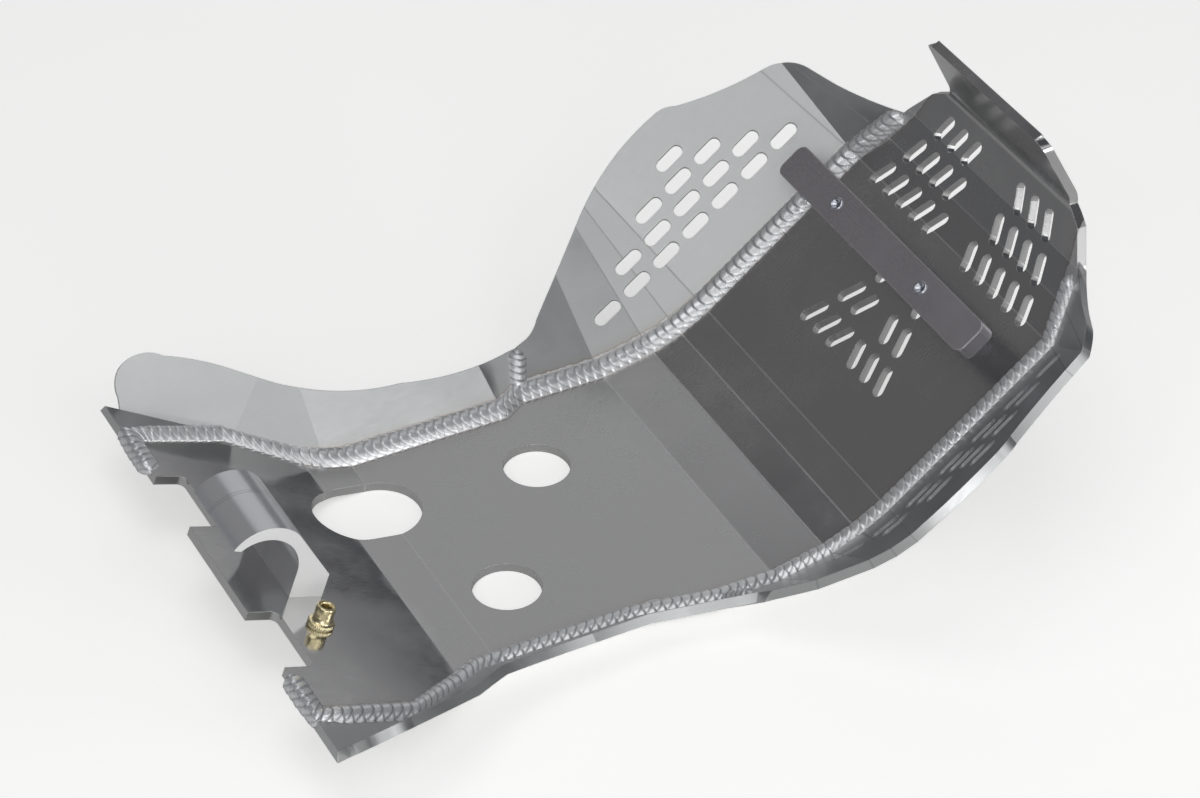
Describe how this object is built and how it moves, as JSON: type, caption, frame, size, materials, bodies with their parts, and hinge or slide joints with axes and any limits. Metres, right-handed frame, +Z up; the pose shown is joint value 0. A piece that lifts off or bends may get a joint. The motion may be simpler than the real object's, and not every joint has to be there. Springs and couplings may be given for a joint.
{
  "type": "motorcycle skid plate",
  "caption": "Folded sheet-metal engine guard with welded slotted side wings, drain openings, a rear tube hook, a front clamp bar and a threaded insert.",
  "frame": {"origin": "centre of the underside of the flat base, on which the plate rests", "axes": "+Z up out of the guard, +Y to the rear of the motorcycle, +X to its left side"},
  "size_m": [0.3415, 0.4573, 0.1949],
  "materials": {
    "plate_aluminium": "satin mill finish with fine grain",
    "wing_aluminium": "satin mill finish with fine grain",
    "weld_aluminium": "bright rippled weld",
    "hook_aluminium": "extruded, satin",
    "bar_aluminium": "brushed along its length",
    "fastener_steel": "plated",
    "insert_brass": "turned and knurled"
  },
  "bodies": {
    "root": {"main_plate": "plate_aluminium", "left_front_wing": "wing_aluminium", "right_front_wing": "wing_aluminium", "left_rear_wing": "wing_aluminium", "right_rear_wing": "wing_aluminium", "left_weld_bead": "weld_aluminium", "right_weld_bead": "weld_aluminium", "left_joint_weld": "weld_aluminium", "right_joint_weld": "weld_aluminium", "hook_bracket": "hook_aluminium", "hook_screws": "fastener_steel", "brass_insert": "insert_brass", "clamp_bar": "bar_aluminium", "clamp_bolts": "fastener_steel", "clamp_nuts": "fastener_steel"}
  },
  "joints": []
}
